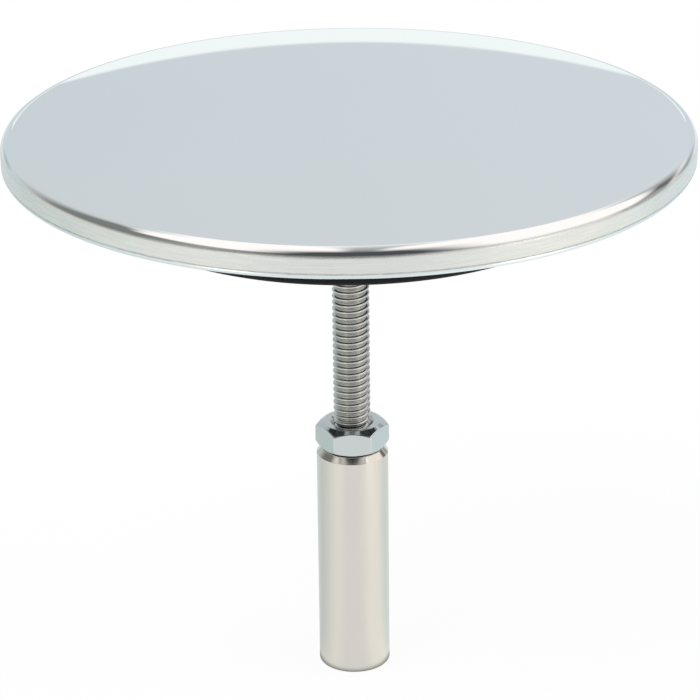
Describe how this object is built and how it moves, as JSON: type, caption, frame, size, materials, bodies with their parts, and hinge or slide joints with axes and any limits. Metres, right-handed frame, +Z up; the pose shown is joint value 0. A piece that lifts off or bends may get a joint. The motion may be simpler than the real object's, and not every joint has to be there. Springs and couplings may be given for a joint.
{
  "type": "drain stopper",
  "caption": "Round polished drain cover with a rubber seal, on a threaded rod with a lock nut and an adjusting sleeve that sets its height over the drain's lifting lever",
  "frame": {"origin": "centre of the sleeve's foot face, at the rest height of the sleeve", "axes": "+Z runs up the stopper's axis to the cover, +X runs to a corner of the lock nut, and -Y faces the camera of the picture"},
  "size_m": [0.07, 0.07, 0.0606],
  "materials": {
    "polished_cover": "mirror-polished top with a satin rim",
    "plated_steel": "zinc plated",
    "hub_brass": "turned",
    "carrier_plastic": "moulded",
    "seal_rubber": "matt black",
    "rod_steel": "rolled thread, bright",
    "nut_nickel": "bright nickel plated",
    "sleeve_nickel": "satin nickel plated brass"
  },
  "bodies": {
    "sleeve": {"adjusting_sleeve": "sleeve_nickel"},
    "plug": {"cover_cap": "polished_cover", "backing_plate": "plated_steel", "hub": "hub_brass", "seal_carrier": "carrier_plastic", "seal": "seal_rubber", "washer": "plated_steel", "retaining_nut": "plated_steel", "threaded_rod": "rod_steel"},
    "lock_nut": {"lock_nut": "nut_nickel"}
  },
  "joints": [
    {"name": "stem_height", "type": "slide", "parent": "sleeve", "child": "plug", "axis": [0, 0, 1], "range_m": [-0.0084, 0.007]},
    {"name": "lock_nut_turn", "type": "hinge", "parent": "sleeve", "child": "lock_nut", "pos_m": [0, 0, 0.02665], "axis": [0, 0, 1], "range_deg": [-3600, 4320]}
  ],
  "couplings": [
    {"joint": "lock_nut_turn", "follows": "stem_height", "rad_per_m": -8976}
  ]
}
